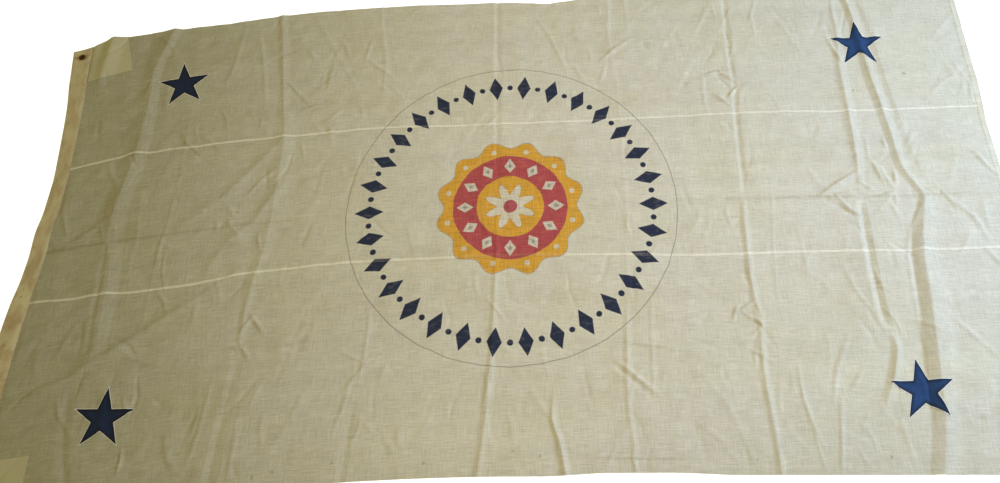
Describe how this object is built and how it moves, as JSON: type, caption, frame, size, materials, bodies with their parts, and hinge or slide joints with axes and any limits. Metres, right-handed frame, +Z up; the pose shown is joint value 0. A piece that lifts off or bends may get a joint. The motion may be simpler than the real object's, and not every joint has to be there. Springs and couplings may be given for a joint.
{
  "type": "worn spread cloth flag",
  "caption": "Large worn bunting flag lying open on a flat surface, with storage folds, sewn stars, corner patches and a canvas heading with eyelets for a halyard.",
  "frame": {"origin": "middle of the flag's field, on the surface that the flag lies on", "axes": "+X along the fly away from the hoist, +Y up the hoist as the flag is flown, +Z up from the surface"},
  "size_m": [2.86, 1.6579, 0.0182],
  "materials": {
    "bunting": "aged cream bunting, open slubby weave, stained",
    "canvas": "tan canvas, close weave, soiled",
    "patch_cloth": "pale plain-weave cotton",
    "star_cloth": "navy cotton, slightly faded",
    "eyelet_metal": "tarnished brown"
  },
  "bodies": {
    "root": {"panel_upper": "bunting", "panel_middle": "bunting", "panel_lower": "bunting", "heading": "canvas", "patch_upper": "patch_cloth", "patch_lower": "patch_cloth", "star_upper_hoist": "star_cloth", "star_lower_hoist": "star_cloth", "star_upper_fly": "star_cloth", "star_lower_fly": "star_cloth", "eyelet_upper": "eyelet_metal", "eyelet_lower": "eyelet_metal"}
  },
  "joints": []
}
